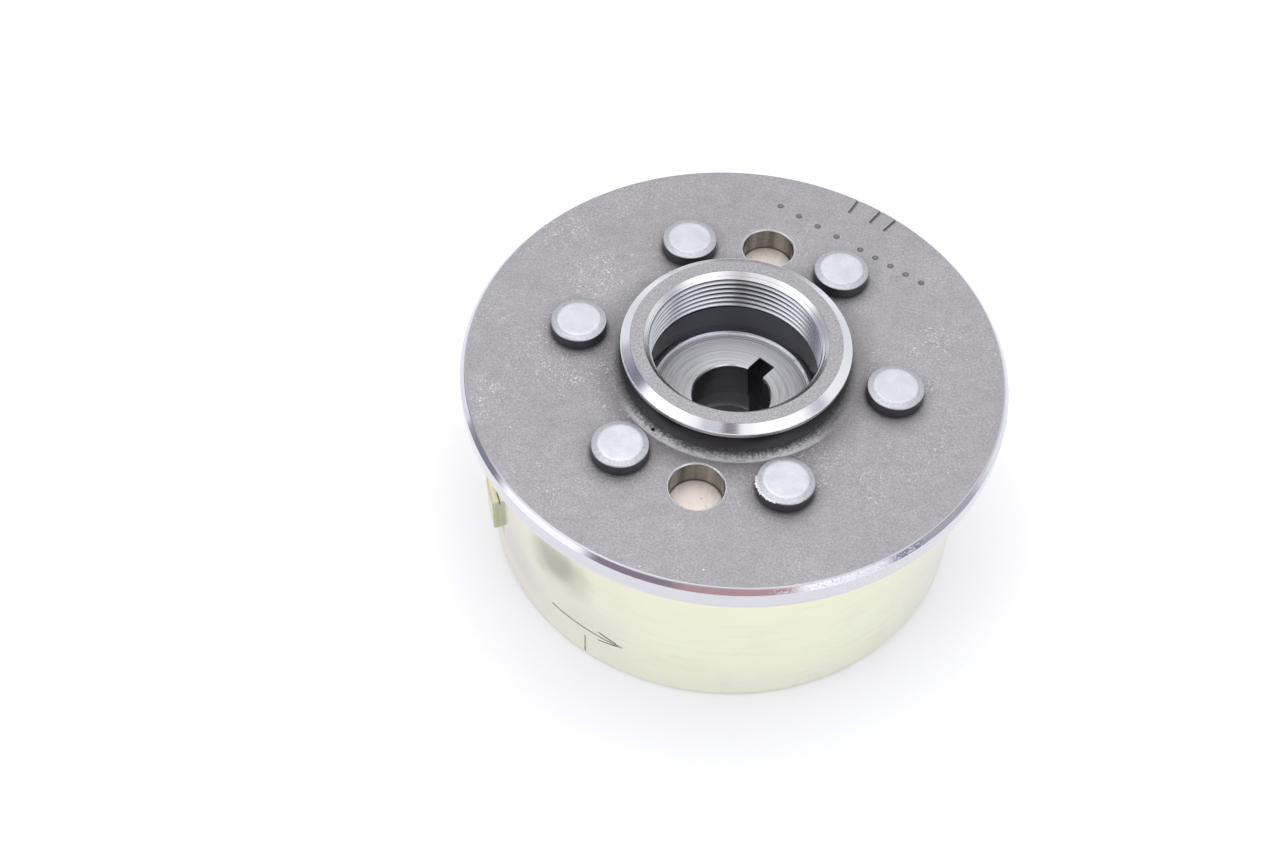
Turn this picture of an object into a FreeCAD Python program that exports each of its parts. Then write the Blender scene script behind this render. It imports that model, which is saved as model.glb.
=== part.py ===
import FreeCAD, Part
import math
import os

# Magneto flywheel of a small engine: a steel disc with a taper hub, riveted to a plated steel cup
# that carries a ring of magnets and, outside, the trigger bar for the ignition pickup.
# Millimetres. The Z axis is the crankshaft axis. The cup's open rim lies on Z = 0 and +Z points
# towards the crankshaft nut. One pair of rivets lies on the X axis.

# Disc, one piece with the hub
FACE_Z = 35.7
DISC_T = 4.0
DISC_R = 42.0
DISC_EDGE_BEVEL = 0.74
DISC_EDGE_BEVEL_H = 0.85
DISC_EDGE_ROUND = 0.45
DISC_BACK_CHAMFER = 0.25

# Raised ring round the puller thread
RING_TOP = FACE_Z + 5.15
RING_OUT_R = 17.6
RING_LAND_OUT_R = 16.1
RING_BEVEL_H = 0.95
RING_LAND_IN_R = 14.1
RING_EDGE_H = 0.6
NECK_R = 16.2
NECK_TOP_Z = FACE_Z + 2.9
NECK_TOP_R = 0.5
NECK_FILLET_R = 2.3
FOOT_R = 19.6
FOOT_H = 0.2

# Puller thread M27 x 1: the wall stands at the major diameter
THREAD_MAJOR_R = 13.5
THREAD_LOW_Z = FACE_Z - 2.2
RECESS_R = 13.1
RECESS_FLOOR_Z = FACE_Z - 8.2
RECESS_CORNER_R = 0.9

# Taper bore 1:5 on diameter, with a relief half way down, and its keyway
BORE_SMALL_R = 6.1
BORE_TAPER = 0.1
BORE_END_Z = 10.5
BORE_EDGE = 0.25
RELIEF_DEPTH = 0.35
RELIEF_TOP_Z = 19.7
RELIEF_LOW_Z = 15.2
KEYWAY_W = 3.0
KEYWAY_FLOOR_R = 8.95
KEYWAY_AZ = 63.3

# Boss inside the cup
BOSS_R = 16.5
BOSS_LOW_Z = 26.5
NOSE_R = 12.5
NOSE_TOP_Z = 22.5
NOSE_CHAMFER = 1.0

# Two plain holes through the disc for the holding tool
TOOL_HOLE_R = 4.1
TOOL_HOLE_CIRCLE_R = 24.6
TOOL_HOLE_AZ = (90.0, 270.0)
TOOL_HOLE_EDGE = 0.15

# Timing lines cut in the disc's face
TIMING_AZ = (62.7, 66.9, 72.9)
TIMING_IN_R = 37.8
TIMING_W = 0.5
TIMING_DEPTH = 0.3

# Two groups of plain punch marks in the disc's face, along a straight line beside the timing lines:
# (count, first offset along the line, pitch)
PUNCH_GROUPS = ((4, 2.5, 3.7), (5, -2.1, -2.9))
PUNCH_LINE_R = 31.8
PUNCH_LINE_AZ = 67.0
PUNCH_R = 0.55
PUNCH_DEPTH = 0.35

# Cup
CUP_R = 38.0
CUP_WALL = 2.8
CUP_TOP_Z = FACE_Z - DISC_T
CUP_END_T = 2.8
CUP_CORNER_OUT_R = 3.0
CUP_CORNER_IN_R = 1.5
CUP_RIM_EDGE = 0.5
CUP_CENTRE_GAP = 0.05

# Direction arrow and index line cut in the cup's wall
ARROW_Z = 7.4
ARROW_TAIL_AZ = -122.0
ARROW_TIP_AZ = -101.1
ARROW_BARB = 4.6
ARROW_BARB_ANGLE = 15.0
INDEX_AZ = -111.5
INDEX_LOW_Z = 0.7
INDEX_TOP_Z = 5.3
LINE_W = 0.34
LINE_DEPTH = 0.25

# Rivets
RIVET_COUNT = 6
RIVET_CIRCLE_R = 24.8
RIVET_R = 2.47
RIVET_HOLE_R = 2.5
RIVET_HEAD_R = 4.36
RIVET_HEAD_SIDE_H = 1.9
RIVET_HEAD_TOP_R = 3.27
RIVET_HEAD_H = 2.18
RIVET_HEAD_CROWN_R = 2.5
RIVET_HEAD_EDGE_R = 0.25
RIVET_INNER_HEAD_R = 4.2
RIVET_INNER_HEAD_H = 1.4
RIVET_INNER_CHAMFER = 0.5

# Magnets, spacers, liner and the two rings that locate them
MAGNET_COUNT = 6
MAGNET_ARC = 50.0
MAGNET_OUT_R = 35.15
MAGNET_IN_R = 30.6
MAGNET_LOW_Z = 3.2
MAGNET_TOP_Z = 26.0
MAGNET_CHAMFER = 0.5
SPACER_GAP = 0.1
SPACER_IN_R = 31.2
LINER_IN_R = 30.1
LINER_OUT_R = 30.55
STOP_RING_TOP_Z = 28.8
STOP_RING_CHAMFER = 1.6
KEEPER_LOW_Z = 0.9
KEEPER_CHAMFER = 0.8

# Trigger bar on the cup's outer wall
TRIGGER_IN_R = 38.02
TRIGGER_OUT_R = 39.3
TRIGGER_LOW_Z = 7.0
TRIGGER_TOP_Z = 13.5
TRIGGER_START_AZ = -192.8
TRIGGER_ARC = 45.0
TRIGGER_EDGE = 0.25

AXIS = FreeCAD.Vector(0, 0, 1)
ORIGIN = FreeCAD.Vector(0, 0, 0)


def point(radius, z):
    return FreeCAD.Vector(radius, 0, z)


def revolve(points, angle=360.0):
    """Turn a closed outline of (radius, z) points about the crankshaft axis.

    A third value on a point rounds that corner with an arc of that radius."""
    edges = []
    count = len(points)
    corners = []
    for index, entry in enumerate(points):
        here = point(entry[0], entry[1])
        if len(entry) == 2:
            corners.append((here, None, here))
            continue
        before = (point(*points[index - 1][:2]) - here).normalize()
        after = (point(*points[(index + 1) % count][:2]) - here).normalize()
        half = before.getAngle(after) / 2
        reach = entry[2] / math.tan(half)
        centre = here + (before + after).normalize() * (entry[2] / math.sin(half))
        middle = centre + (here - centre).normalize() * entry[2]
        corners.append((here + before * reach, middle, here + after * reach))
    for index, (start, middle, end) in enumerate(corners):
        if middle is not None:
            edges.append(Part.Arc(start, middle, end).toShape())
        following = corners[(index + 1) % count][0]
        edges.append(Part.makeLine(end, following))
    face = Part.Face(Part.Wire(edges))
    return face.revolve(ORIGIN, AXIS, angle)


def turned(shape, azimuth):
    """A copy of the shape turned about the crankshaft axis."""
    copy = shape.copy()
    copy.rotate(ORIGIN, AXIS, azimuth)
    return copy


def rod(radius, low_z, high_z, circle_r=0.0, azimuth=0.0):
    cylinder = Part.makeCylinder(radius, high_z - low_z, FreeCAD.Vector(circle_r, 0, low_z), AXIS)
    return turned(cylinder, azimuth)


def block(low, high):
    size = high - low
    return Part.makeBox(size.x, size.y, size.z, low)


def bore_radius(z):
    return BORE_SMALL_R + BORE_TAPER * (RECESS_FLOOR_Z - z)


def hub_outline():
    """Section of disc, ring, boss and bore, from the bore's small end round to its large end."""
    bevel_z = FACE_Z - DISC_EDGE_BEVEL_H
    back_z = FACE_Z - DISC_T
    lead_in = RING_LAND_IN_R - THREAD_MAJOR_R
    return [
        (bore_radius(RECESS_FLOOR_Z) + BORE_EDGE, RECESS_FLOOR_Z),
        (RECESS_R, RECESS_FLOOR_Z, RECESS_CORNER_R),
        (RECESS_R, THREAD_LOW_Z),
        (THREAD_MAJOR_R, THREAD_LOW_Z),
        (THREAD_MAJOR_R, RING_TOP - lead_in),
        (RING_LAND_IN_R, RING_TOP),
        (RING_LAND_OUT_R, RING_TOP),
        (RING_OUT_R, RING_TOP - RING_BEVEL_H),
        (RING_OUT_R, RING_TOP - RING_BEVEL_H - RING_EDGE_H),
        (NECK_R, NECK_TOP_Z, NECK_TOP_R),
        (NECK_R, FACE_Z + FOOT_H, NECK_FILLET_R),
        (FOOT_R, FACE_Z),
        (DISC_R - DISC_EDGE_BEVEL, FACE_Z, DISC_EDGE_ROUND),
        (DISC_R, bevel_z),
        (DISC_R, back_z + DISC_BACK_CHAMFER),
        (DISC_R - DISC_BACK_CHAMFER, back_z),
        (BOSS_R, back_z),
        (BOSS_R, BOSS_LOW_Z),
        (NOSE_R, NOSE_TOP_Z, 2.0),
        (NOSE_R, BORE_END_Z + NOSE_CHAMFER),
        (NOSE_R - NOSE_CHAMFER, BORE_END_Z),
        (bore_radius(BORE_END_Z) + BORE_EDGE, BORE_END_Z),
        (bore_radius(BORE_END_Z + BORE_EDGE), BORE_END_Z + BORE_EDGE),
        (bore_radius(RELIEF_LOW_Z), RELIEF_LOW_Z),
        (bore_radius(RELIEF_LOW_Z) + RELIEF_DEPTH, RELIEF_LOW_Z),
        (bore_radius(RELIEF_TOP_Z) + RELIEF_DEPTH, RELIEF_TOP_Z),
        (bore_radius(RELIEF_TOP_Z), RELIEF_TOP_Z),
        (bore_radius(RECESS_FLOOR_Z - BORE_EDGE), RECESS_FLOOR_Z - BORE_EDGE),
    ]


def tool_hole_cutter(azimuth):
    hole = rod(TOOL_HOLE_R, CUP_TOP_Z - 1, FACE_Z + 1, TOOL_HOLE_CIRCLE_R)
    edge = Part.makeCone(TOOL_HOLE_R, TOOL_HOLE_R + TOOL_HOLE_EDGE, TOOL_HOLE_EDGE,
                         FreeCAD.Vector(TOOL_HOLE_CIRCLE_R, 0, FACE_Z - TOOL_HOLE_EDGE), AXIS)
    return turned(hole.fuse(edge), azimuth)


def timing_cutter(azimuth):
    low = FreeCAD.Vector(TIMING_IN_R, -TIMING_W / 2, FACE_Z - TIMING_DEPTH)
    high = FreeCAD.Vector(DISC_R + 1, TIMING_W / 2, FACE_Z + 1)
    return turned(block(low, high), azimuth)


def punch_cutter(offset):
    tip = FreeCAD.Vector(PUNCH_LINE_R, offset, FACE_Z - PUNCH_DEPTH)
    return turned(Part.makeCone(0, 2 * PUNCH_R, 2 * PUNCH_DEPTH, tip, AXIS), PUNCH_LINE_AZ)


def flange_hub():
    hub = revolve(hub_outline())
    keyway = block(FreeCAD.Vector(0, -KEYWAY_W / 2, BORE_END_Z - 1),
                   FreeCAD.Vector(KEYWAY_FLOOR_R, KEYWAY_W / 2, RECESS_FLOOR_Z + 1))
    cutters = [turned(keyway, KEYWAY_AZ)]
    cutters += [tool_hole_cutter(azimuth) for azimuth in TOOL_HOLE_AZ]
    cutters += [timing_cutter(azimuth) for azimuth in TIMING_AZ]
    for count, first, pitch in PUNCH_GROUPS:
        cutters += [punch_cutter(first + pitch * index) for index in range(count)]
    for index in range(RIVET_COUNT):
        azimuth = index * 360.0 / RIVET_COUNT
        cutters.append(rod(RIVET_HOLE_R, CUP_TOP_Z - 1, FACE_Z + 1, RIVET_CIRCLE_R, azimuth))
    return hub.cut(cutters)


def band_cutter(start_az, end_az, low_z, high_z):
    """A shallow groove round the cup's wall between two azimuths."""
    outline = [
        (CUP_R - LINE_DEPTH, low_z),
        (CUP_R + 1, low_z),
        (CUP_R + 1, high_z),
        (CUP_R - LINE_DEPTH, high_z),
    ]
    return turned(revolve(outline, end_az - start_az), start_az)


def barb_cutter(tilt):
    """One stroke of the arrow's head, from the tip back along the wall."""
    stroke = block(FreeCAD.Vector(CUP_R - LINE_DEPTH, -ARROW_BARB, -LINE_W / 2),
                   FreeCAD.Vector(CUP_R + 1, 0, LINE_W / 2))
    stroke.rotate(FreeCAD.Vector(CUP_R, 0, 0), FreeCAD.Vector(1, 0, 0), tilt)
    lean = math.degrees(ARROW_BARB / CUP_R) / 2
    stroke.rotate(FreeCAD.Vector(CUP_R, 0, 0), AXIS, -lean)
    stroke.translate(FreeCAD.Vector(0, 0, ARROW_Z))
    return turned(stroke, ARROW_TIP_AZ)


def rotor_cup():
    inner_r = CUP_R - CUP_WALL
    end_z = CUP_TOP_Z - CUP_END_T
    centre_r = BOSS_R + CUP_CENTRE_GAP
    shell = revolve([
        (centre_r, end_z),
        (inner_r, end_z, CUP_CORNER_IN_R),
        (inner_r, 0),
        (CUP_R - CUP_RIM_EDGE, 0),
        (CUP_R, CUP_RIM_EDGE),
        (CUP_R, CUP_TOP_Z, CUP_CORNER_OUT_R),
        (centre_r, CUP_TOP_Z),
    ])
    half = LINE_W / 2
    cutters = [
        band_cutter(ARROW_TAIL_AZ, ARROW_TIP_AZ, ARROW_Z - half, ARROW_Z + half),
        barb_cutter(ARROW_BARB_ANGLE),
        barb_cutter(-ARROW_BARB_ANGLE),
    ]
    index_half = math.degrees(half / CUP_R)
    cutters.append(band_cutter(INDEX_AZ - index_half, INDEX_AZ + index_half, INDEX_LOW_Z, INDEX_TOP_Z))
    for index in range(RIVET_COUNT):
        azimuth = index * 360.0 / RIVET_COUNT
        cutters.append(rod(RIVET_HOLE_R, end_z - 1, CUP_TOP_Z + 1, RIVET_CIRCLE_R, azimuth))
    return shell.cut(cutters)


def rivet(azimuth):
    """Set rivet: flat-topped head on the disc, shank, and low head inside the cup."""
    inner_z = CUP_TOP_Z - CUP_END_T
    low_z = inner_z - RIVET_INNER_HEAD_H
    body = revolve([
        (0, low_z),
        (RIVET_INNER_HEAD_R - RIVET_INNER_CHAMFER, low_z),
        (RIVET_INNER_HEAD_R, low_z + RIVET_INNER_CHAMFER),
        (RIVET_INNER_HEAD_R, inner_z),
        (RIVET_R, inner_z),
        (RIVET_R, FACE_Z),
        (RIVET_HEAD_R, FACE_Z),
        (RIVET_HEAD_R, FACE_Z + RIVET_HEAD_SIDE_H, RIVET_HEAD_EDGE_R),
        (RIVET_HEAD_TOP_R, FACE_Z + RIVET_HEAD_H, RIVET_HEAD_CROWN_R),
        (0, FACE_Z + RIVET_HEAD_H),
    ])
    body.translate(FreeCAD.Vector(RIVET_CIRCLE_R, 0, 0))
    return turned(body, azimuth)


def magnet(middle_az):
    """Ferrite arc with chamfered inner edges."""
    arc = revolve([
        (MAGNET_IN_R, MAGNET_LOW_Z + MAGNET_CHAMFER),
        (MAGNET_IN_R + MAGNET_CHAMFER, MAGNET_LOW_Z),
        (MAGNET_OUT_R, MAGNET_LOW_Z),
        (MAGNET_OUT_R, MAGNET_TOP_Z),
        (MAGNET_IN_R + MAGNET_CHAMFER, MAGNET_TOP_Z),
        (MAGNET_IN_R, MAGNET_TOP_Z - MAGNET_CHAMFER),
    ], MAGNET_ARC)
    return turned(arc, middle_az - MAGNET_ARC / 2)


def magnet_spacer(middle_az):
    """Moulded wedge that fills the gap between two magnets."""
    gap = math.degrees(SPACER_GAP / MAGNET_IN_R)
    width = 360.0 / MAGNET_COUNT - MAGNET_ARC - 2 * gap
    wedge = revolve([
        (SPACER_IN_R, MAGNET_LOW_Z),
        (MAGNET_OUT_R, MAGNET_LOW_Z),
        (MAGNET_OUT_R, MAGNET_TOP_Z),
        (SPACER_IN_R, MAGNET_TOP_Z),
    ], width)
    return turned(wedge, middle_az - width / 2)


def magnet_liner():
    """Thin stainless tube inside the magnets."""
    return revolve([
        (LINER_IN_R, MAGNET_LOW_Z),
        (LINER_OUT_R, MAGNET_LOW_Z),
        (LINER_OUT_R, MAGNET_TOP_Z),
        (LINER_IN_R, MAGNET_TOP_Z),
    ])


def magnet_stop_ring():
    """Moulded ring between the magnets and the cup's closed end."""
    return revolve([
        (LINER_IN_R, MAGNET_TOP_Z),
        (MAGNET_OUT_R, MAGNET_TOP_Z),
        (MAGNET_OUT_R, STOP_RING_TOP_Z - STOP_RING_CHAMFER),
        (MAGNET_OUT_R - STOP_RING_CHAMFER, STOP_RING_TOP_Z),
        (LINER_IN_R, STOP_RING_TOP_Z),
    ])


def magnet_keeper_ring():
    """Ring pressed into the open end, below the magnets."""
    return revolve([
        (LINER_IN_R + KEEPER_CHAMFER, KEEPER_LOW_Z),
        (MAGNET_OUT_R, KEEPER_LOW_Z),
        (MAGNET_OUT_R, MAGNET_LOW_Z),
        (LINER_IN_R, MAGNET_LOW_Z),
        (LINER_IN_R, KEEPER_LOW_Z + KEEPER_CHAMFER),
    ])


def trigger_bar():
    """Curved bar welded to the cup's outer wall, which passes the ignition pickup."""
    bar = revolve([
        (TRIGGER_IN_R, TRIGGER_LOW_Z),
        (TRIGGER_OUT_R - TRIGGER_EDGE, TRIGGER_LOW_Z),
        (TRIGGER_OUT_R, TRIGGER_LOW_Z + TRIGGER_EDGE),
        (TRIGGER_OUT_R, TRIGGER_TOP_Z - TRIGGER_EDGE),
        (TRIGGER_OUT_R - TRIGGER_EDGE, TRIGGER_TOP_Z),
        (TRIGGER_IN_R, TRIGGER_TOP_Z),
    ], TRIGGER_ARC)
    return turned(bar, TRIGGER_START_AZ)


def all_parts():
    parts = {
        "flange_hub": flange_hub(),
        "rotor_cup": rotor_cup(),
        "trigger_bar": trigger_bar(),
        "magnet_liner": magnet_liner(),
        "magnet_stop_ring": magnet_stop_ring(),
        "magnet_keeper_ring": magnet_keeper_ring(),
    }
    for index in range(RIVET_COUNT):
        parts["rivet_%d" % (index + 1)] = rivet(index * 360.0 / RIVET_COUNT)
    step = 360.0 / MAGNET_COUNT
    for index in range(MAGNET_COUNT):
        parts["magnet_%d" % (index + 1)] = magnet(index * step)
        parts["magnet_spacer_%d" % (index + 1)] = magnet_spacer((index + 0.5) * step)
    return parts


def main():
    os.makedirs("parts", exist_ok=True)
    for name, shape in all_parts().items():
        if shape.ShapeType != "Solid":
            shape = shape.Solids[0]
        box = shape.BoundBox
        print("%-20s volume %9.1f mm3  z %6.2f to %6.2f  valid %s"
              % (name, shape.Volume, box.ZMin, box.ZMax, shape.isValid()))
        shape.exportStep("parts/%s.step" % name)


main()
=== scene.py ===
import math

import bpy
from mathutils import Matrix, Vector


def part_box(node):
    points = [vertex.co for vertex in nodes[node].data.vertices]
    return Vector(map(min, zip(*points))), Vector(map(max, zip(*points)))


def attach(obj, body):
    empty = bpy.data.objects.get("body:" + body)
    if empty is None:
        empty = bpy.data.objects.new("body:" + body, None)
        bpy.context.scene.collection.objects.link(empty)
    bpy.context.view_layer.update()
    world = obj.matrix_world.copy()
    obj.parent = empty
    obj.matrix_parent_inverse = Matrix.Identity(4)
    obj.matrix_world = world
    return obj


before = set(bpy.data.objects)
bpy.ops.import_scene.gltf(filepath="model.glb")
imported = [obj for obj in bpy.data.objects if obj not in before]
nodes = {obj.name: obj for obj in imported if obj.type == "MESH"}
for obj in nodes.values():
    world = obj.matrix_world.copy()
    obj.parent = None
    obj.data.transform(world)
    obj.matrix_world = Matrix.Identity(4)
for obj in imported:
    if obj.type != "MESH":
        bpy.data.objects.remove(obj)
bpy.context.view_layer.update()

# Looks of a magneto flywheel, in metres, in the CAD frame: Z is the crankshaft axis, the cup's open
# rim lies on Z = 0, and one pair of rivets lies on the X axis.

MM = 0.001
_, hub_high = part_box("flange_hub")
_, cup_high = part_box("rotor_cup")
bar_low, bar_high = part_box("trigger_bar")
rivet_low, rivet_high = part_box("rivet_1")

DISC_R = hub_high.x
RING_TOP = hub_high.z
FACE_Z = RING_TOP - 5.15 * MM
DISC_BACK_Z = cup_high.z
CUP_R = cup_high.x
RIVET_CIRCLE_R = (rivet_low.x + rivet_high.x) / 2
RIVET_HEAD_R = (rivet_high.x - rivet_low.x) / 2
RIVET_SIDE_H = 1.9 * MM
RIVET_COUNT = 6
MAGNET_COUNT = 6

# Zones of the hub, by radius and height
FACE_IN_R = 17.5 * MM
FACE_OUT_R = DISC_R - 0.9 * MM
EDGE_ROUND_R = DISC_R - 0.62 * MM
EDGE_WALL_R = DISC_R - 0.03 * MM
NECK_R = 15.9 * MM
FOOT_OUT_R = 19.7 * MM
RING_OUT_R = 17.8 * MM
RING_LOW_Z = RING_TOP - 1.62 * MM
LAND_IN_R = 14.1 * MM
THREAD_MAJOR_R = 13.5 * MM
THREAD_CREST_R = 12.96 * MM
THREAD_PITCH = 1.0 * MM
THREAD_START_AZ = 148.0
THREAD_LOW_Z = FACE_Z - 2.2 * MM
RECESS_R = 13.1 * MM
RECESS_FLOOR_Z = FACE_Z - 8.2 * MM
FLOOR_CORNER_R = 12.35 * MM
FLOOR_GROOVES_R = (11.75 * MM, 12.1 * MM)
BORE_EDGE_R = 6.35 * MM
BORE_R = 9.2 * MM
RELIEF_R = 8.0 * MM
RELIEF_TOP_Z = 19.7 * MM
RELIEF_LOW_Z = 15.2 * MM
TOOL_HOLE_CIRCLE_R = 24.6 * MM
TOOL_HOLE_R = 4.1 * MM

# Marks on the disc's face, by radius: timing lines, punch marks, and one pit at an azimuth in degrees
LINES_R = (37.0 * MM, 41.25 * MM)
PUNCHED_R = (31.0 * MM, 36.5 * MM)
MARK_DEPTH = 0.6 * MM
PIT_R = 18.45 * MM
PIT_AZ = -118.2

# Azimuths in degrees: the pale crescent on the neck's foot, which is partly a painted highlight, its
# dimmer middle, and the pitted stretch of the disc's edge
CRESCENT_AZ = (-130, -38)
CRESCENT_DIM_AZ = -88
PITTED_AZ = (-68, -36)

# Patches of pale scratches on the disc's face: radius in mm, azimuth in degrees, half width in mm
SCRATCHED = ((27.5, 155, 6.5), (26.5, 200, 5.0), (38.5, 149, 5.0), (38.0, 207, 4.0), (31.5, 23, 3.5))

# Painted sheen: the cup is yellow-green on the sides that face this azimuth or away from it, and
# greyer between
SHEEN_AZ = -70

# Middle of a darker olive patch on the cup's wall
OLIVE_PATCH_AZ = -119.3
OLIVE_PATCH_Z = 20.3 * MM

# Heights between which the arrow and the index line are cut in the cup's wall
CUT_LOW_Z = 0.6 * MM
CUT_TOP_Z = 12.0 * MM

# Trigger bar: its end face stands past this azimuth, and a dark seam runs along the cup's wall
BAR_END_AZ = -148.2
BAR_ARC = 45
BAR_SEAM_R = CUP_R + 0.2 * MM
BAR_OUT_R = -bar_low.x
BAR_TOP_Z = bar_high.z

# Camera: where it stands, where it looks and how far it is rolled
CAMERA_AZIMUTH = 8.67
CAMERA_DISTANCE = 175.8 * MM
CAMERA_HEIGHT = FACE_Z + 208.24 * MM
LOOK_AZIMUTH = 13.29
LOOK_DOWN = 52.13
ROLL = -1.84
LENS = 49.9
SENSOR = 36.0

# Stage and overhead light
FLOOR_HALF = 4.0
FLOOR_Z = -0.02 * MM
LIGHT_PLACE = (-0.15, 0.1, 1.2)
LIGHT_AIM = (0, 0, 0.02)
LIGHT_SIZE = 0.9
LIGHT_POWER = 2.0


# ---------------------------------------------------------------- node trees

class Graph:
    """Builds a node tree. Every function returns an output that other functions take."""

    def __init__(self, tree):
        self.tree = tree
        tree.nodes.clear()

    def node(self, kind):
        return self.tree.nodes.new(kind)

    def link(self, source, socket):
        if isinstance(source, bpy.types.NodeSocket):
            self.tree.links.new(source, socket)
        else:
            socket.default_value = source

    def math(self, operation, a, b=0.0):
        node = self.node("ShaderNodeMath")
        node.operation = operation
        self.link(a, node.inputs[0])
        self.link(b, node.inputs[1])
        return node.outputs[0]

    def times(self, *values):
        """Product of all the values."""
        result = values[0]
        for value in values[1:]:
            result = self.math("MULTIPLY", result, value)
        return result

    def vector(self, operation, a, b=(0, 0, 0)):
        node = self.node("ShaderNodeVectorMath")
        node.operation = operation
        self.link(a, node.inputs[0])
        self.link(b, node.inputs[1])
        return node.outputs["Value" if operation in ("LENGTH", "DOT_PRODUCT") else "Vector"]

    def join(self, x, y, z):
        node = self.node("ShaderNodeCombineXYZ")
        for value, socket in zip((x, y, z), node.inputs):
            self.link(value, socket)
        return node.outputs[0]

    def split(self, vector):
        node = self.node("ShaderNodeSeparateXYZ")
        self.link(vector, node.inputs[0])
        return node.outputs

    def span(self, value, low, high, start=0.0, end=1.0, smooth=False):
        """A value taken from one range to another, and held at its ends."""
        node = self.node("ShaderNodeMapRange")
        if smooth:
            node.interpolation_type = "SMOOTHSTEP"
        self.link(value, node.inputs["Value"])
        node.inputs["From Min"].default_value = low
        node.inputs["From Max"].default_value = high
        node.inputs["To Min"].default_value = start
        node.inputs["To Max"].default_value = end
        return node.outputs["Result"]

    def above(self, value, edge, soft=0.05):
        """0 below the edge and 1 above it, over a soft width."""
        return self.span(value, edge - soft / 2, edge + soft / 2, smooth=True)

    def below(self, value, edge, soft=0.05):
        """1 below the edge and 0 above it, over a soft width."""
        return self.span(value, edge - soft / 2, edge + soft / 2, 1.0, 0.0, smooth=True)

    def between(self, value, low, high, soft=0.05):
        return self.times(self.above(value, low, soft), self.below(value, high, soft))

    def mix(self, mask, a, b):
        """Colour a where the mask is 0 and colour b where it is 1."""
        node = self.node("ShaderNodeMix")
        node.data_type = "RGBA"
        self.link(mask, node.inputs["Factor"])
        for colour, socket in ((a, node.inputs["A"]), (b, node.inputs["B"])):
            self.link((*colour, 1) if isinstance(colour, tuple) else colour, socket)
        return next(output for output in node.outputs if output.type == "RGBA")

    def blend(self, mask, a, b):
        """Number a where the mask is 0 and number b where it is 1."""
        node = self.node("ShaderNodeMix")
        self.link(mask, node.inputs["Factor"])
        self.link(a, node.inputs["A"])
        self.link(b, node.inputs["B"])
        return node.outputs["Result"]


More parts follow.
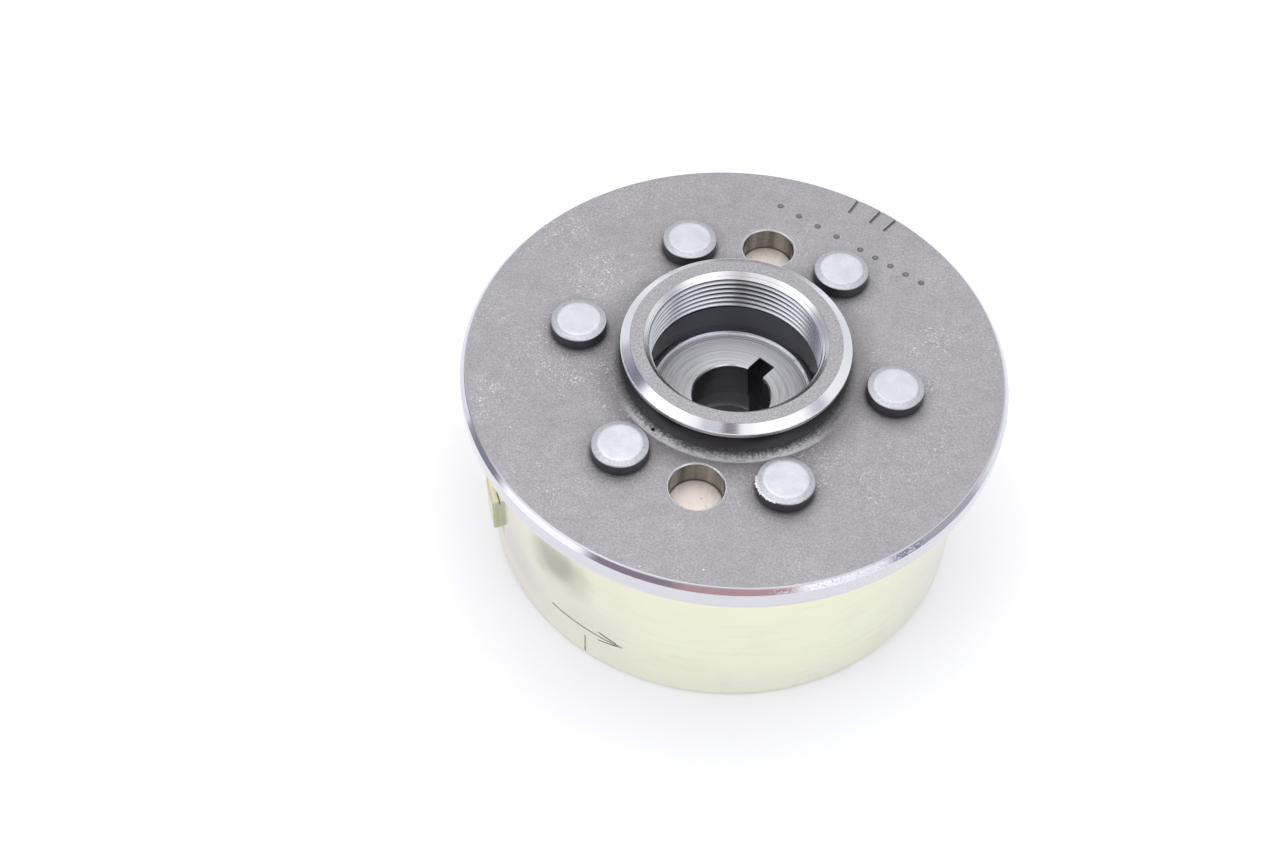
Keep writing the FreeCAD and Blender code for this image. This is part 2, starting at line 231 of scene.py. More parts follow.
class Paint(Graph):
    """A metal or plastic built up zone by zone over the part's own coordinates, in millimetres:
    colour, roughness, relief, the lean that turning marks give to the surface, and grain, a mask of
    where gloss is drawn out across turning marks."""

    GRAIN_STRENGTH = 0.65

    def __init__(self, name, colour, rough, metallic=1.0):
        self.material = bpy.data.materials.new(name)
        self.material.use_nodes = True
        super().__init__(self.material.node_tree)
        self.metallic = metallic
        self.colour = colour
        self.rough = rough
        self.relief = 0.0
        self.lean = None
        self.grain = None
        coordinates = self.node("ShaderNodeTexCoord").outputs["Object"]
        self.place = self.vector("MULTIPLY", coordinates, (1 / MM,) * 3)
        self.x, self.y, self.z = self.split(self.place)
        flat = self.vector("MULTIPLY", self.place, (1, 1, 0))
        self.r = self.vector("LENGTH", flat)
        self.outward = self.vector("NORMALIZE", flat)
        self.azimuth = self.math("DEGREES", self.math("ARCTAN2", self.y, self.x))

    def noise(self, scale, detail=3.0, rough=0.5, at=None, shift=0.0, twist=0.0):
        """Noise of about 0.5 on average; scale is features per unit of the place it reads."""
        node = self.node("ShaderNodeTexNoise")
        place = self.place if at is None else at
        self.link(self.vector("ADD", place, (shift,) * 3), node.inputs["Vector"])
        node.inputs["Scale"].default_value = scale
        node.inputs["Detail"].default_value = detail
        node.inputs["Roughness"].default_value = rough
        node.inputs["Distortion"].default_value = twist
        return node.outputs["Fac"]

    def specks(self, per_mm, size, shift=0.0):
        """Mask of scattered round specks."""
        node = self.node("ShaderNodeTexVoronoi")
        self.link(self.vector("ADD", self.place, (shift,) * 3), node.inputs["Vector"])
        node.inputs["Scale"].default_value = per_mm
        return self.below(node.outputs["Distance"], size * per_mm, size * per_mm * 0.5)

    def turning(self, across, along=1.0):
        """Coordinates for marks that run round the axis: fine across it, long round it."""
        fine = self.join(self.times(self.r, across), 0.0, self.times(self.z, across))
        return self.vector("ADD", self.vector("MULTIPLY", self.outward, (along,) * 3), fine)

    def to_tool_hole(self):
        """Distance from the axis of the nearer tool hole: one is on +Y and one on -Y."""
        side = self.vector("ABSOLUTE", self.place)
        away = self.vector("SUBTRACT", side, (0, in_mm(TOOL_HOLE_CIRCLE_R), 0))
        return self.vector("LENGTH", self.vector("MULTIPLY", away, (1, 1, 0)))

    def turned_to(self, azimuth):
        """Cosine of the angle round the axis between a place and an azimuth."""
        turn = math.radians(azimuth)
        return self.vector("DOT_PRODUCT", self.outward, (math.cos(turn), math.sin(turn), 0))

    def distance_to(self, radius, azimuth, height):
        """Distance from a point given by its radius, azimuth in degrees and height."""
        turn = math.radians(azimuth)
        place = (radius * math.cos(turn), radius * math.sin(turn), height)
        return self.vector("LENGTH", self.vector("SUBTRACT", self.place, place))

    def shade(self, factor):
        """Make the colour lighter or darker."""
        self.colour = self.vector("MULTIPLY", self.colour, self.join(factor, factor, factor))

    def tint(self, mask, colour):
        """Paint a colour where the mask is 1."""
        self.colour = self.mix(mask, self.colour, colour)

    def zone(self, mask, colour, rough):
        """Paint a colour and a roughness where the mask is 1."""
        self.tint(mask, colour)
        self.rough = self.blend(mask, self.rough, rough)

    def raise_by(self, height, amount, mask=1.0):
        """Add relief: a pattern from 0 to 1 times an amount in millimetres."""
        self.relief = self.math("ADD", self.relief, self.times(height, amount, mask))

    def turn_marks(self, mask, pitch, slope):
        """Fine ridges of a lathe tool: the surface leans in and out as the radius grows."""
        wave = self.math("SINE", self.times(self.r, 2 * math.pi / pitch))
        amount = self.times(wave, mask, slope)
        push = self.vector("MULTIPLY", self.outward, self.join(amount, amount, amount))
        self.lean = push if self.lean is None else self.vector("ADD", self.lean, push)

    def finish(self):
        shader = self.node("ShaderNodeBsdfPrincipled")
        bump = self.node("ShaderNodeBump")
        bump.inputs["Strength"].default_value = 1.0
        bump.inputs["Distance"].default_value = MM
        self.link(self.relief, bump.inputs["Height"])
        normal = bump.outputs["Normal"]
        if self.lean is not None:
            normal = self.vector("NORMALIZE", self.vector("ADD", normal, self.lean))
        self.link(normal, shader.inputs["Normal"])
        self.link(self.colour, shader.inputs["Base Color"])
        self.link(self.rough, shader.inputs["Roughness"])
        shader.inputs["Metallic"].default_value = self.metallic
        if self.grain is not None:
            self.link(self.outward, shader.inputs["Tangent"])
            self.link(self.times(self.grain, self.GRAIN_STRENGTH), shader.inputs["Anisotropic"])
        output = self.node("ShaderNodeOutputMaterial")
        self.link(shader.outputs[0], output.inputs["Surface"])
        return self.material


# ---------------------------------------------------------------- materials

def in_mm(length):
    return length / MM


def hub_steel():
    """Forged steel: grit-blasted face, turned and polished edges, dark bore."""
    p = Paint("hub_steel", (0.352, 0.342, 0.356), 0.50)
    face = in_mm(FACE_Z)
    on_face = p.times(p.above(p.z, face - 0.05), p.between(p.r, in_mm(FACE_IN_R), in_mm(FACE_OUT_R)))
    blast_the_face(p, on_face)
    turn_the_inside(p)
    dress_the_neck(p, face)
    polish_the_ring(p)
    polish_the_edge(p)
    for (inner, outer), shallow in ((LINES_R, 0.08), (PUNCHED_R, 0.03)):
        sunk = p.between(p.z, face - in_mm(MARK_DEPTH), face - shallow)
        marked = p.times(sunk, p.between(p.r, in_mm(inner), in_mm(outer)))
        p.zone(marked, (0.23, 0.23, 0.235), 0.6)
    pit = p.below(p.distance_to(in_mm(PIT_R), PIT_AZ, face), 0.35, 0.25)
    p.zone(pit, (0.05, 0.035, 0.04), 0.7)
    return p.finish()


def blast_the_face(p, on_face):
    """Even grey with fine grain, pale flecks in clusters, and painted shade round ring and rivets."""
    fine = p.noise(3.0, 4, 0.8)
    coarse = p.noise(0.5, 4, 0.6, shift=11)
    broad = p.noise(0.07, 3, 0.5, shift=40)
    p.shade(p.span(fine, 0.32, 0.68, 0.78, 1.22))
    p.shade(p.span(coarse, 0.3, 0.7, 0.93, 1.07))
    p.shade(p.span(broad, 0.3, 0.7, 0.96, 1.04))
    p.raise_by(fine, 0.06, on_face)
    p.raise_by(coarse, 0.06, on_face)

    # Painted shade: the face darkens towards the foot of each rivet and towards the ring.
    half_step = math.pi / RIVET_COUNT
    turn = p.math("PINGPONG", p.math("ARCTAN2", p.y, p.x), half_step)
    circle = in_mm(RIVET_CIRCLE_R)
    square = p.math("ADD", p.times(p.r, p.r), circle ** 2)
    across = p.times(p.r, 2 * circle, p.math("COSINE", turn))
    to_rivet = p.math("SQRT", p.math("SUBTRACT", square, across))
    head = in_mm(RIVET_HEAD_R)
    p.shade(p.blend(on_face, 1.0, p.span(to_rivet, head - 0.06, head + 0.64, 0.55, 1.0, smooth=True)))
    p.shade(p.blend(on_face, 1.0, p.span(to_rivet, head - 0.16, head + 3.04, 0.82, 1.0, smooth=True)))
    p.shade(p.blend(on_face, 1.0, p.span(p.r, 18.8, 24.0, 0.70, 1.0, smooth=True)))

    squiggles = p.noise(1.3, 3, 0.7, shift=5, twist=2.2)
    spread = p.noise(0.085, 3, 0.6, shift=23)
    clusters = p.span(spread, 0.46, 0.62, 0.08, 0.7)
    for radius, azimuth, half in SCRATCHED:
        middle = p.distance_to(radius, azimuth, in_mm(FACE_Z))
        ragged = p.math("ADD", middle, p.span(p.noise(0.4, 3, 0.6), 0.3, 0.7, -2.5, 2.5))
        clusters = p.math("MAXIMUM", clusters, p.span(ragged, half * 0.4, half * 1.2, 1.25, 0.0))
    flecks = p.times(p.span(squiggles, 0.53, 0.64), p.span(fine, 0.42, 0.58), clusters)
    p.zone(p.times(flecks, on_face, 0.9), (0.70, 0.68, 0.71), 0.36)
    bright = p.times(p.specks(0.6, 0.13), p.above(p.noise(0.5, 2, 0.5, shift=9), 0.62, 0.1))
    p.zone(p.times(bright, on_face), (0.78, 0.78, 0.80), 0.25)


def turn_the_inside(p):
    """Everything below the disc's face: back, boss, tool holes, recess and taper bore."""
    inside = p.below(p.z, in_mm(FACE_Z) - 0.7)
    marks = p.noise(1.0, 3, 0.6, at=p.turning(5.0))
    p.zone(inside, p.mix(p.span(marks, 0.3, 0.7), (0.30, 0.31, 0.34), (0.42, 0.43, 0.46)), 0.30)
    drill_the_tool_holes(p, marks)
    turn_the_recess(p)
    turn_the_bore(p, marks)


def drill_the_tool_holes(p, marks):
    """Streaked walls painted dark, partly as shade in the holes, and a bright rim."""
    to_hole = p.to_tool_hole()
    hole_r = in_mm(TOOL_HOLE_R)
    in_disc = p.between(p.z, in_mm(DISC_BACK_Z) + 0.02, in_mm(FACE_Z) - 0.2)
    hole = p.times(p.below(to_hole, hole_r + 0.4), in_disc)
    drilled = p.noise(0.36, 2, 0.55, at=p.vector("MULTIPLY", p.place, (1, 1, 0.06)), shift=6)
    streaked = p.math("ADD", p.times(marks, 0.3), drilled)
    # The walls are painted dark and streaked, partly as shade in the holes.
    p.zone(hole, p.mix(p.span(streaked, 0.48, 0.82), (0.05, 0.05, 0.045), (0.31, 0.30, 0.265)), 0.18)
    rim = p.times(p.between(to_hole, hole_r + 0.02, hole_r + 0.2), p.above(p.z, in_mm(FACE_Z) - 0.3))
    p.zone(rim, (0.80, 0.80, 0.80), 0.25)


def turn_the_recess(p):
    """Dark wall, partly painted shade, darker thread roots, and a bright floor with rings, two grooves
    and a corner.
    """
    floor_z = in_mm(RECESS_FLOOR_Z)
    recess = p.times(p.below(p.r, in_mm(THREAD_MAJOR_R) + 0.1), p.above(p.z, floor_z - 0.3))
    # The near-black wall is dark metal, and partly painted shade in the deep recess.
    p.zone(recess, (0.075, 0.075, 0.086), 0.16)
    p.zone(p.times(recess, p.above(p.z, in_mm(THREAD_LOW_Z) - 0.1)), (0.10, 0.10, 0.11), 0.35)
    floor = p.times(recess, p.below(p.z, floor_z + 0.1))
    rings = p.noise(1.0, 3, 0.75, at=p.turning(2.8), shift=17)
    p.zone(floor, p.mix(p.span(rings, 0.36, 0.64), (0.60, 0.60, 0.63), (0.88, 0.88, 0.91)), 0.56)
    p.grain = floor
    p.turn_marks(floor, 0.36, 0.03)
    for radius in FLOOR_GROOVES_R:
        groove = p.between(p.r, in_mm(radius) - 0.05, in_mm(radius) + 0.05, 0.06)
        p.zone(p.times(floor, groove), (0.22, 0.22, 0.24), 0.4)
    corner_r = in_mm(FLOOR_CORNER_R)
    corner = p.times(p.between(p.r, corner_r, corner_r + 0.6, 0.2), p.below(p.z, floor_z + 0.7))
    p.zone(corner, (0.40, 0.40, 0.44), 0.25)


def turn_the_bore(p, marks):
    """Dark taper with a bright edge and a duller relief."""
    floor_z = in_mm(RECESS_FLOOR_Z)
    bore = p.times(p.below(p.r, in_mm(BORE_R)), p.below(p.z, floor_z - 0.3))
    p.zone(bore, p.mix(p.span(marks, 0.35, 0.65), (0.26, 0.26, 0.285), (0.38, 0.38, 0.41)), 0.28)
    edge_r = in_mm(BORE_EDGE_R)
    edge = p.times(p.between(p.r, edge_r - 0.25, edge_r), p.above(p.z, floor_z - 0.26))
    p.zone(edge, (0.93, 0.93, 0.95), 0.22)
    relieved = p.between(p.z, in_mm(RELIEF_LOW_Z), in_mm(RELIEF_TOP_Z))
    relief = p.times(p.below(p.r, in_mm(RELIEF_R)), relieved)
    p.zone(relief, (0.46, 0.45, 0.47), 0.4)


def dress_the_neck(p, face):
    """Undercut neck painted near-black as shade, fading out over its foot, with a pale gritty crescent
    in front that is partly a painted highlight.
    """
    around = p.between(p.r, in_mm(NECK_R), in_mm(FOOT_OUT_R), 0.3)
    foot = p.times(p.above(p.z, face + 0.01, 0.02), around)
    grit = p.noise(2.6, 4, 0.8, shift=31)
    spokes = p.noise(1.0, 4, 0.7, at=p.vector("MULTIPLY", p.outward, (34, 34, 34)))
    rough = p.math("ADD", p.times(spokes, 0.4), grit)
    ragged_r = p.math("ADD", p.r, p.span(rough, 0.4, 1.0, -0.5, 0.5))
    # Painted shade: near-black under the ring, fading out over the foot.
    undercut_shade = p.span(ragged_r, 17.2, 19.2, 1.0, 0.0, smooth=True)
    p.zone(p.times(foot, undercut_shade), (0.042, 0.041, 0.046), 0.42)
    # The pale crescent is gritty metal and partly a painted highlight, dimmer in its middle.
    ends = p.between(p.azimuth, *CRESCENT_AZ, 34)
    crescent = p.times(foot, p.between(ragged_r, 18.2, 19.4, 0.8), ends)
    from_dip = p.math("ABSOLUTE", p.math("SUBTRACT", p.azimuth, CRESCENT_DIM_AZ))
    dip = p.span(from_dip, 6, 34, 0.8, 1.0, smooth=True)
    pale = p.mix(p.span(rough, 0.55, 0.85), (0.38, 0.375, 0.385), (0.88, 0.87, 0.89))
    p.zone(p.times(crescent, dip), pale, 0.45)
    p.raise_by(rough, 0.05, crescent)


def polish_the_ring(p):
    """Raised ring: grainy land, and turned outer bevel and lead-in."""
    top = in_mm(RING_TOP)
    across = p.between(p.r, in_mm(THREAD_MAJOR_R) + 0.01, in_mm(RING_OUT_R), 0.02)
    ring = p.times(p.above(p.z, in_mm(RING_LOW_Z), 0.06), across)
    p.zone(ring, (0.71, 0.71, 0.735), 0.12)
    lead_in = p.times(ring, p.below(p.r, in_mm(LAND_IN_R)))
    p.zone(lead_in, (0.74, 0.74, 0.76), 0.27)
    p.turn_marks(p.times(ring, p.below(p.z, top - 0.05)), 0.17, 0.05)
    land = p.times(p.above(p.z, top - 0.03, 0.02), ring)
    grain = p.noise(3.4, 5, 0.75, shift=3)
    p.zone(land, p.mix(p.span(grain, 0.32, 0.68), (0.205, 0.200, 0.208), (0.49, 0.48, 0.495)), 0.36)
    p.raise_by(grain, 0.05, land)


def polish_the_edge(p):
    """Mirror bevel and turned wall of the disc, with a pitted stretch."""
    edge = p.times(p.above(p.r, in_mm(FACE_OUT_R), 0.1), p.above(p.z, in_mm(DISC_BACK_Z) + 0.1))
    streaks = p.noise(1.0, 3, 0.6, at=p.turning(3.5))
    p.zone(edge, p.mix(p.span(streaks, 0.35, 0.65), (0.63, 0.62, 0.65), (0.68, 0.67, 0.70)), 0.07)
    rounded = p.times(edge, p.below(p.r, in_mm(EDGE_ROUND_R), 0.1))
    p.zone(rounded, (0.50, 0.49, 0.52), 0.28)
    wall = p.times(edge, p.above(p.r, in_mm(EDGE_WALL_R), 0.02))
    p.rough = p.blend(wall, p.rough, 0.16)
    p.raise_by(streaks, 0.008, wall)
    pits = p.span(p.noise(3.2, 3, 0.7, shift=61), 0.56, 0.70)
    stretch = p.times(edge, p.between(p.azimuth, *PITTED_AZ, 10))
    p.zone(p.times(pits, stretch, 0.7), (0.50, 0.50, 0.53), 0.3)
    p.raise_by(pits, -0.02, stretch)


def zinc(name, base, side, low):
    """Yellow passivated zinc over drawn steel: glossy, and its tint drifts round the cup, with a
    painted sheen that turns it greyer between the sides facing one azimuth and away from it.
    """
    p = Paint(name, base, 0.2)
    drift = p.noise(0.05, 2, 0.5)
    # Painted sheen: greyer between the sides that face the given azimuth and away from it.
    to_side = p.math("ABSOLUTE", p.turned_to(SHEEN_AZ))
    facing = p.math("ADD", to_side, p.span(drift, 0.3, 0.7, -0.14, 0.14))
    p.tint(p.span(facing, 0.25, 0.95, 1.0, 0.0, smooth=True), side)
    band = p.math("ADD", p.z, p.span(drift, 0.3, 0.7, -1.5, 1.5))
    p.tint(p.times(p.below(band, 5.0, 5.0), 0.75), low)
    cloud = p.noise(0.16, 3, 0.55, shift=77)
    p.tint(p.span(cloud, 0.52, 0.72, 0.0, 0.35), (0.80, 0.72, 0.66))
    draw = p.noise(1.0, 3, 0.55, at=p.turning(2.2))
    p.shade(p.span(draw, 0.3, 0.7, 0.98, 1.02))
    p.raise_by(draw, 0.004)
    p.raise_by(p.noise(2.0, 3, 0.6), 0.003)
    p.rough = p.span(draw, 0.3, 0.7, 0.16, 0.24)
    return p


def cup_zinc():
    """Yellow zinc on the cup, with a darker olive patch, bare cut marks, and a stained inside end."""
    p = zinc("cup_zinc", (0.865, 0.885, 0.705), (0.69, 0.65, 0.60), (0.84, 0.84, 0.71))
    upper = p.span(p.math("ADD", p.z, p.times(p.noise(0.12, 2, 0.5, shift=51), 8.0)), 17.0, 28.0)
    p.tint(p.times(upper, 0.6), (0.83, 0.80, 0.60))
    drawn = p.noise(1.0, 4, 0.7, at=p.turning(1.1, 2.5), shift=33)
    p.tint(p.times(p.span(drawn, 0.52, 0.74), 0.26), (0.72, 0.62, 0.50))
    dress_the_wall(p)
    dress_the_end(p)
    return p.finish()


def dress_the_wall(p):
    """Darker olive patch, arrow and index line cut to paler metal with painted highlight and shade,
    and duller zinc round the trigger bar.
    """
    # A darker olive patch on the wall.
    uneven = p.span(p.noise(0.11, 2, 0.5, shift=88), 0.3, 0.7, -2.0, 2.0)
    ragged = p.math("ADD", p.distance_to(in_mm(CUP_R), OLIVE_PATCH_AZ, in_mm(OLIVE_PATCH_Z)), uneven)
    olive_patch = p.span(ragged, 1.0, 9.0, 1.0, 0.0, smooth=True)
    p.tint(p.times(olive_patch, 0.94), (0.42, 0.40, 0.31))
    on_wall = p.above(p.r, in_mm(CUP_R) - 0.6)
    level = p.between(p.z, in_mm(CUT_LOW_Z), in_mm(CUT_TOP_Z))
    # The cuts' walls are pale bare metal and a painted highlight; their deep floor is painted darker
    # as shade.
    cut = p.times(p.below(p.r, in_mm(CUP_R) - 0.03, 0.02), on_wall, level)
    p.zone(cut, (0.90, 0.89, 0.86), 0.25)
    deep = p.below(p.r, in_mm(CUP_R) - 0.17, 0.1)
    p.zone(p.times(cut, deep), (0.62, 0.58, 0.52), 0.35)
    past_ends = math.cos(math.radians(BAR_ARC / 2 + 2))
    along = p.above(p.turned_to(BAR_END_AZ - BAR_ARC / 2), past_ends, 0.03)
    by_bar = p.times(along, p.below(p.z, in_mm(BAR_TOP_Z) + 1.5, 2.0), on_wall)
    p.rough = p.blend(by_bar, p.rough, 0.5)


def dress_the_end(p):
    """Pale stained metal that shows through the tool holes, with painted shade round them."""
    end = p.times(p.above(p.z, in_mm(DISC_BACK_Z) - 0.05), p.below(p.r, 30.0))
    stain = p.noise(0.5, 3, 0.6, shift=19)
    fibres = p.noise(0.9, 4, 0.7, at=p.vector("MULTIPLY", p.place, (2.2, 0.35, 1)), shift=4)
    p.zone(end, p.mix(p.span(stain, 0.35, 0.65), (0.98, 0.90, 0.83), (0.93, 0.87, 0.81)), 0.65)
    p.zone(p.times(end, p.span(fibres, 0.52, 0.72), 0.45), (0.70, 0.62, 0.52), 0.6)
    p.zone(p.times(end, p.specks(0.8, 0.12)), (0.62, 0.36, 0.32), 0.5)
    # Painted shade: dark where the end meets the walls of the tool holes.
    hole_edge_shade = p.between(p.to_tool_hole(), in_mm(TOOL_HOLE_R) - 0.15, in_mm(TOOL_HOLE_R) + 0.6, 0.3)
    p.zone(p.times(end, hole_edge_shade, 0.85), (0.10, 0.07, 0.06), 0.6)


def trigger_zinc():
    """Yellow zinc on the trigger bar: golden top painted lighter as lit, with a painted highlight
    along its rim, greenish end, and painted shade and highlight along the seam by the cup.
    """
    p = zinc("trigger_zinc", (0.72, 0.68, 0.44), (0.76, 0.71, 0.46), (0.52, 0.54, 0.40))
    grain = p.noise(3.0, 4, 0.65, shift=14)
    # The top is golden zinc, painted lighter as lit.
    top = p.above(p.z, in_mm(BAR_TOP_Z) - 0.2, 0.3)
    p.zone(top, (0.88, 0.79, 0.52), 0.45)
    # Painted highlight: a bright rim along the top, by the end and by the seam.
    by_end = p.between(p.azimuth, BAR_END_AZ - 1.1, 0.0, 0.3)
    by_seam = p.between(p.r, in_mm(BAR_SEAM_R) + 0.4, in_mm(BAR_SEAM_R) + 0.65, 0.1)
    p.zone(p.times(top, p.math("MAXIMUM", by_end, by_seam)), (1.0, 0.97, 0.80), 0.35)
    p.tint(p.times(p.between(p.azimuth, BAR_END_AZ, 0.0, 0.3), 0.8), (0.52, 0.57, 0.40))
    # Along the seam by the cup: a pale painted highlight, and painted shade on the top.
    seam = p.below(p.math("ADD", p.r, p.times(grain, 0.3)), in_mm(BAR_SEAM_R) + 0.15, 0.2)
    p.tint(p.times(seam, 0.7), (0.86, 0.87, 0.78))
    on_top = p.span(p.z, in_mm(BAR_TOP_Z) - 0.6, in_mm(BAR_TOP_Z) - 0.1, 0.0, 0.85)
    p.zone(p.times(seam, on_top), (0.13, 0.11, 0.06), 0.5)
    outer = p.times(p.above(p.r, in_mm(BAR_OUT_R) - 0.16, 0.1),
                    p.above(p.z, in_mm(BAR_TOP_Z) - 0.12, 0.1))
    p.zone(p.times(outer, 0.7), (0.36, 0.32, 0.18), 0.35)
    p.shade(p.span(grain, 0.3, 0.7, 0.92, 1.07))
    p.raise_by(grain, 0.012)
    return p.finish()


def rivet_steel():
    """Cold-formed steel: bright worn top, and dark sides of oxide and painted shade."""
    # The base colour, left on the sides, is dark oxide and painted shade.
    p = Paint("rivet_steel", (0.12, 0.12, 0.135), 0.42)
    top = in_mm(rivet_high.z)
    grain = p.noise(2.6, 5, 0.7)
    broad = p.noise(0.35, 3, 0.5, shift=8)
    edge = p.mix(p.span(grain, 0.35, 0.65), (0.36, 0.36, 0.38), (0.46, 0.46, 0.49))
    p.zone(p.above(p.z, top - 0.36, 0.10), edge, 0.36)
    worn = p.mix(p.span(broad, 0.35, 0.65), (0.54, 0.54, 0.57), (0.61, 0.61, 0.65))
    p.zone(p.above(p.z, top - 0.03, 0.05), worn, 0.32)
    p.shade(p.span(grain, 0.3, 0.7, 0.95, 1.05))
    p.raise_by(grain, 0.015)
    p.raise_by(broad, 0.08)
    return p.finish()


def turned_metal(name, dark, light, rough, across):
    """Plain turned or drawn metal, with marks that run round the axis."""
    p = Paint(name, dark, rough)
    marks = p.noise(1.0, 3, 0.6, at=p.turning(across))
    p.tint(p.span(marks, 0.3, 0.7), light)
    p.raise_by(marks, 0.006)
    p.rough = p.span(marks, 0.3, 0.7, rough - 0.04, rough + 0.06)
    return p.finish()


def thread_steel():
    """Bright crests of the puller thread, and flanks painted dark as shade."""
    p = Paint("thread_steel", (0.56, 0.57, 0.60), 0.18)
    marks = p.noise(1.0, 3, 0.6, at=p.turning(7.0))
    p.shade(p.span(marks, 0.3, 0.7, 0.9, 1.1))
    crest = in_mm(THREAD_CREST_R)
    root = in_mm(THREAD_MAJOR_R)
    chamfer = p.above(p.math("SUBTRACT", p.z, p.r), in_mm(RING_TOP - LAND_IN_R) - 0.05, 0.03)
    # Painted shade: darker from the crest down into the thread's groove.
    groove = p.times(p.span(p.r, crest + 0.06, root - 0.1), p.math("SUBTRACT", 1.0, chamfer))
    p.zone(groove, (0.13, 0.13, 0.14), 0.35)
    p.zone(chamfer, (0.74, 0.74, 0.76), 0.27)
    return p.finish()


def grained(name, colour, rough, relief, metallic=0.0):
    """Grained matter of one colour: sintered ferrite, black polyamide or torn steel."""
    p = Paint(name, colour, rough, metallic)
    grain = p.noise(2.6, 4, 0.65)
    p.shade(p.span(grain, 0.3, 0.7, 0.75, 1.3))
    p.rough = p.span(grain, 0.3, 0.7, rough - 0.07, rough + 0.09)
    p.raise_by(grain, relief)
    return p.finish()


def floor_paper():
    """Plain pale paper."""
    p = Paint("floor_paper", (0.937, 0.948, 0.968), 0.6, metallic=0.0)
    p.shade(p.span(p.noise(0.4, 3, 0.6), 0.3, 0.7, 0.99, 1.0))
    return p.finish()


# ---------------------------------------------------------------- pieces

def add_mesh(name, points, faces, material):
    """A smooth mesh piece with sharp edges over 32 degrees, riding with the rotor."""
    mesh = bpy.data.meshes.new(name)
    mesh.from_pydata(points, [], faces)
    mesh.update()
    for polygon in mesh.polygons:
        polygon.use_smooth = True
    mesh.set_sharp_from_angle(angle=math.radians(32))
    mesh.materials.append(material)
    piece = bpy.data.objects.new(name, mesh)
    bpy.context.scene.collection.objects.link(piece)
    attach(piece, "root")


def thread_ridge(material):
    """Helical ridge of the internal puller thread, cut back at its top by the 45 degree lead-in."""
    steps_per_turn = 120
    start_angle = math.radians(THREAD_START_AZ)
    depth = THREAD_MAJOR_R - THREAD_CREST_R
    root_half = THREAD_PITCH * 0.465
    crest_half = root_half - depth * math.tan(math.radians(30))
    sunk = 0.02 * MM
    rooted = 0.05 * MM
    shallow = THREAD_MAJOR_R - RECESS_R - sunk
    start_z = THREAD_LOW_Z - 0.35 * MM
    end_z = RING_TOP - (LAND_IN_R - THREAD_MAJOR_R) + root_half
    turns = (end_z - start_z) / THREAD_PITCH
    steps = round(turns * steps_per_turn)
    run_in = steps_per_turn * 0.75
    section = [(-root_half, 0.0), (-crest_half, 0.85), (-crest_half * 0.6, 1.0),
               (crest_half * 0.6, 1.0), (crest_half, 0.85), (root_half, 0.0)]
    points = []
    for step in range(steps + 1):
        angle = start_angle + 2 * math.pi * step / steps_per_turn
        middle_z = start_z + THREAD_PITCH * step / steps_per_turn
        height = shallow + (depth - shallow) * min(1.0, step / run_in)
        for offset, share in section:
            z = min(middle_z + offset, RING_TOP - rooted)
            lead_in = LAND_IN_R - (RING_TOP - z)
            radius = max(THREAD_MAJOR_R - share * height, lead_in)
            if share == 0.0:
                radius += rooted
            elif radius >= THREAD_MAJOR_R:
                radius += sunk
            points.append((radius * math.cos(angle), radius * math.sin(angle), z))
    faces = tube_faces(steps, len(section))
    add_mesh("puller_thread_ridge", points, faces, material)


def rivet_burr(material):
    """Ragged flash squeezed out at the top edge of the sixth rivet, on one side."""
    steps = 72
    start = math.radians(183)
    end = math.radians(262)
    low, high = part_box("rivet_6")
    centre = (low + high) / 2
    edge_z = FACE_Z + RIVET_SIDE_H
    points = []
    for step in range(steps + 1):
        along = step / steps
        angle = start + (end - start) * along
        taper = math.sin(math.pi * along) ** 0.5
        ragged = abs(math.sin(31 * along) * math.sin(13 * along + 0.8))
        ragged += 0.4 * abs(math.sin(57 * along))
        reach = (0.03 + 0.24 * ragged) * taper * MM
        lift = (0.02 + 0.08 * abs(math.sin(43 * along + 1))) * taper * MM
        section = (
            (-0.45 * MM, -0.02 * MM),
            (-0.20 * MM, lift + 0.03 * MM),
            (reach, lift - 0.06 * MM),
            (reach * 0.7, lift - 0.20 * MM),
            (-0.10 * MM, -0.34 * MM),
        )
        for out, rise in section:
            x = centre.x + (RIVET_HEAD_R + out) * math.cos(angle)
            y = centre.y + (RIVET_HEAD_R + out) * math.sin(angle)
            points.append((x, y, edge_z + rise))
    faces = tube_faces(steps, len(section))
    add_mesh("rivet_6_burr", points, faces, material)


def tube_faces(steps, count):
    """Faces of a closed tube that is swept through steps + 1 sections of count points."""
    faces = []
    for step in range(steps):
        for index in range(count):
            a = step * count + index
            b = step * count + (index + 1) % count
            faces.append((a, b, b + count, a + count))
    faces.append(tuple(range(count))[::-1])
    faces.append(tuple(steps * count + index for index in range(count)))
    return faces


def dress(names, material):
    """Give CAD nodes a material."""
    for name in names:
        materials = nodes[name].data.materials
        materials.clear()
        materials.append(material)


def numbered(prefix, count):
    """Names of the nodes that differ only in their number."""
    return [f"{prefix}_{index}" for index in range(1, count + 1)]


# ---------------------------------------------------------------- stage, light and camera

def make_floor():
    """A wide pale floor just under the cup's rim."""
    mesh = bpy.data.meshes.new("floor")
    corners = ((-1, -1), (1, -1), (1, 1), (-1, 1))
    points = [(x * FLOOR_HALF, y * FLOOR_HALF, FLOOR_Z) for x, y in corners]
    mesh.from_pydata(points, [], [(0, 1, 2, 3)])
    mesh.materials.append(floor_paper())
    floor = bpy.data.objects.new("floor", mesh)
    bpy.context.scene.collection.objects.link(floor)


def make_light():
    """One large soft light above the object."""
    data = bpy.data.lights.new("overhead", "AREA")
    data.shape = "SQUARE"
    data.size = LIGHT_SIZE
    data.energy = LIGHT_POWER
    light = bpy.data.objects.new("overhead", data)
    light.location = LIGHT_PLACE
    light.rotation_mode = "QUATERNION"
    light.rotation_quaternion = (Vector(LIGHT_AIM) - Vector(LIGHT_PLACE)).to_track_quat("-Z", "Y")
    bpy.context.scene.collection.objects.link(light)


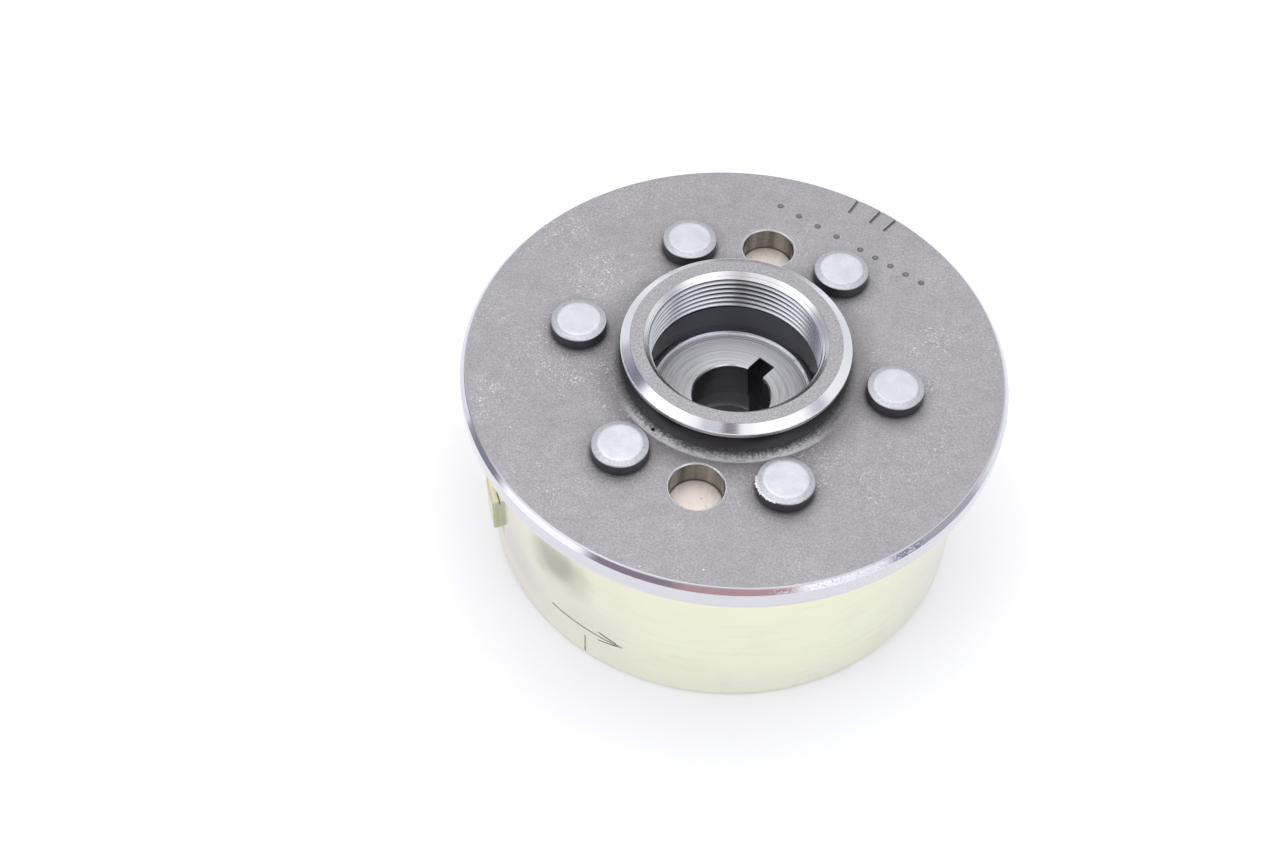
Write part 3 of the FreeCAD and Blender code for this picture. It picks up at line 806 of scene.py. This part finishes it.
# What stands round the object, which polished edges reflect. Azimuth 0 is in front of the object
# and 90 on its right: (azimuth from, to, elevation from, to, colour)
ROOM = (
    (-116, -84, -10, 28, (0.50, 0.49, 0.55)),
    (-112, -84, 28, 44, (0.26, 0.26, 0.34)),
    (-80, -40, 20, 60, (1.70, 1.70, 1.77)),
    (-73, -38, 3, 24, (1.50, 1.50, 1.60)),
    (-92, -74, -10, 13, (0.32, 0.32, 0.38)),
    (-33, 38, 15, 31, (0.64, 0.42, 0.45)),
    (-35, -4, 13, 33, (0.35, 0.29, 0.35)),
    (-26, 2, 54, 78, (0.78, 0.78, 0.84)),
    (2, 22, 33, 50, (0.68, 0.61, 0.66)),
    (2, 22, 50, 78, (0.40, 0.37, 0.41)),
    (0, 18, 50, 61, (0.10, 0.09, 0.10)),
    (40, 71, 13, 62, (1.70, 1.70, 1.78)),
    (38, 68, 8, 22, (1.28, 1.29, 1.39)),
    (69, 97, 44, 62, (1.50, 1.50, 1.56)),
    (70, 86, -10, 22, (0.33, 0.35, 0.46)),
    (84, 107, -10, 45, (0.56, 0.57, 0.64)),
)
ROOM_LOW = (0.93, 0.94, 0.98)
ROOM_HIGH = (1.28, 1.28, 1.32)
ROOM_SOFT = 9


def make_world():
    """A light tent: bright above and a little darker low down, with soft boxes and dark gaps."""
    world = bpy.data.worlds.new("studio")
    world.use_nodes = True
    g = Graph(world.node_tree)
    towards = g.node("ShaderNodeTexCoord").outputs["Generated"]
    x, y, z = g.split(towards)
    azimuth = g.math("DEGREES", g.math("ARCTAN2", x, g.times(y, -1.0)))
    elevation = g.math("DEGREES", g.math("ARCSINE", z))
    colour = g.mix(g.above(elevation, 25, 60), ROOM_LOW, ROOM_HIGH)
    for left, right, low, high, shade in ROOM:
        across = g.between(azimuth, left, right, ROOM_SOFT)
        upright = g.between(elevation, low, high, ROOM_SOFT)
        colour = g.mix(g.times(across, upright), colour, shade)
    background = g.node("ShaderNodeBackground")
    g.link(colour, background.inputs["Color"])
    output = g.node("ShaderNodeOutputWorld")
    g.link(background.outputs[0], output.inputs["Surface"])
    bpy.context.scene.world = world


def make_camera():
    """A camera at the photograph's viewing angle."""
    azimuth = math.radians(LOOK_AZIMUTH)
    down = math.radians(LOOK_DOWN)
    forward = Vector((-math.sin(azimuth) * math.cos(down), math.cos(azimuth) * math.cos(down),
                      -math.sin(down)))
    level = forward.cross(Vector((0, 0, 1))).normalized()
    below = forward.cross(level)
    roll = math.radians(ROLL)
    right = math.cos(roll) * level + math.sin(roll) * below
    up = math.sin(roll) * level - math.cos(roll) * below
    turn = Matrix((right, up, -forward)).transposed()
    stand = math.radians(CAMERA_AZIMUTH)
    place = Vector((CAMERA_DISTANCE * math.sin(stand), -CAMERA_DISTANCE * math.cos(stand),
                    CAMERA_HEIGHT))
    data = bpy.data.cameras.new("camera")
    data.lens = LENS
    data.sensor_width = SENSOR
    data.clip_start = 0.01
    camera = bpy.data.objects.new("camera", data)
    camera.matrix_world = Matrix.Translation(place) @ turn.to_4x4()
    bpy.context.scene.collection.objects.link(camera)
    bpy.context.scene.camera = camera


bpy.context.scene.view_settings.view_transform = "Standard"
make_camera()
make_floor()
make_world()
make_light()

dress(["flange_hub"], hub_steel())
dress(["rotor_cup"], cup_zinc())
dress(["trigger_bar"], trigger_zinc())
dress(numbered("rivet", RIVET_COUNT), rivet_steel())
ferrite = grained("ferrite", (0.055, 0.056, 0.062), 0.62, 0.05)
dress(numbered("magnet", MAGNET_COUNT), ferrite)
spacer = grained("spacer_plastic", (0.035, 0.035, 0.037), 0.5, 0.02)
dress(numbered("magnet_spacer", MAGNET_COUNT), spacer)
dress(["magnet_stop_ring"], grained("stop_plastic", (0.035, 0.035, 0.037), 0.5, 0.02))
liner = turned_metal("liner_stainless", (0.48, 0.48, 0.49), (0.60, 0.60, 0.61), 0.3, 6.0)
dress(["magnet_liner"], liner)
keeper = turned_metal("keeper_aluminium", (0.62, 0.62, 0.64), (0.74, 0.74, 0.76), 0.3, 8.0)
dress(["magnet_keeper_ring"], keeper)
thread_ridge(thread_steel())
rivet_burr(grained("burr_steel", (0.56, 0.56, 0.59), 0.34, 0.03, metallic=1.0))
